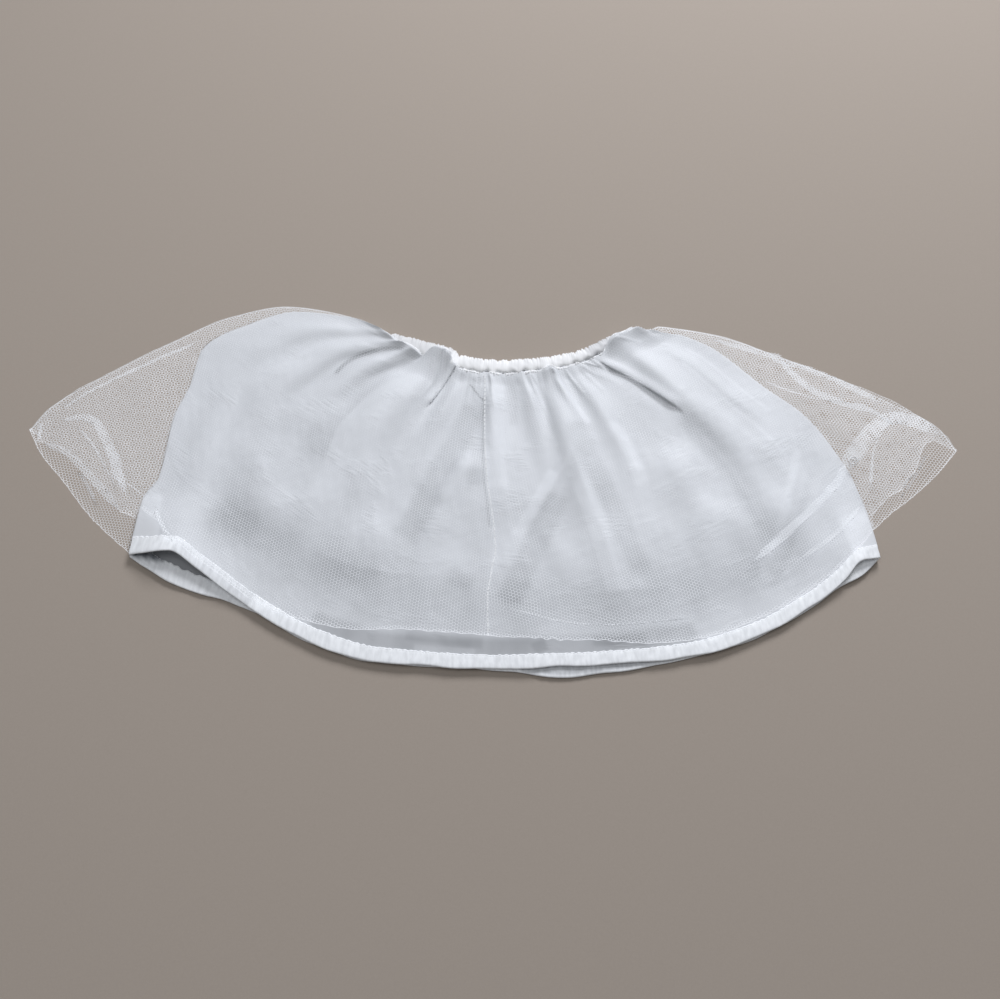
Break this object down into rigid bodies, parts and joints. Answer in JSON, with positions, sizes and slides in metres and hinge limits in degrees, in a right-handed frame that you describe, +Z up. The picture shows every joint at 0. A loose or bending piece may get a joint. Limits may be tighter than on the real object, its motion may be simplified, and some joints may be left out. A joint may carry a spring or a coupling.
{
  "type": "ballet tutu",
  "caption": "Child's soft ballet tutu laid flat: satin under-skirt with stitched hem and a wider net over-skirt, both gathered into an elastic casing.",
  "frame": {"origin": "middle of the part's underside, on the surface it lies on", "axes": "+X across the skirt from its left side fold to its right one as seen from above, +Y from the hem to the waist, +Z up"},
  "size_m": [0.81, 0.3606, 0.0177],
  "materials": {
    "casing_satin": "cool white satin, tightly gathered over elastic",
    "skirt_satin": "cool white satin, softly creased",
    "hem_satin": "cool white satin, turned up and stitched, a little puckered",
    "net": "off-white hexagonal net of 2 mm mesh, seen through"
  },
  "bodies": {
    "root": {"waistband_front": "casing_satin", "waistband_back": "casing_satin", "satin_front": "skirt_satin", "satin_back": "skirt_satin", "hem_front": "hem_satin", "hem_back": "hem_satin", "net_front_left": "net", "net_front_right": "net", "net_back": "net"}
  },
  "joints": []
}
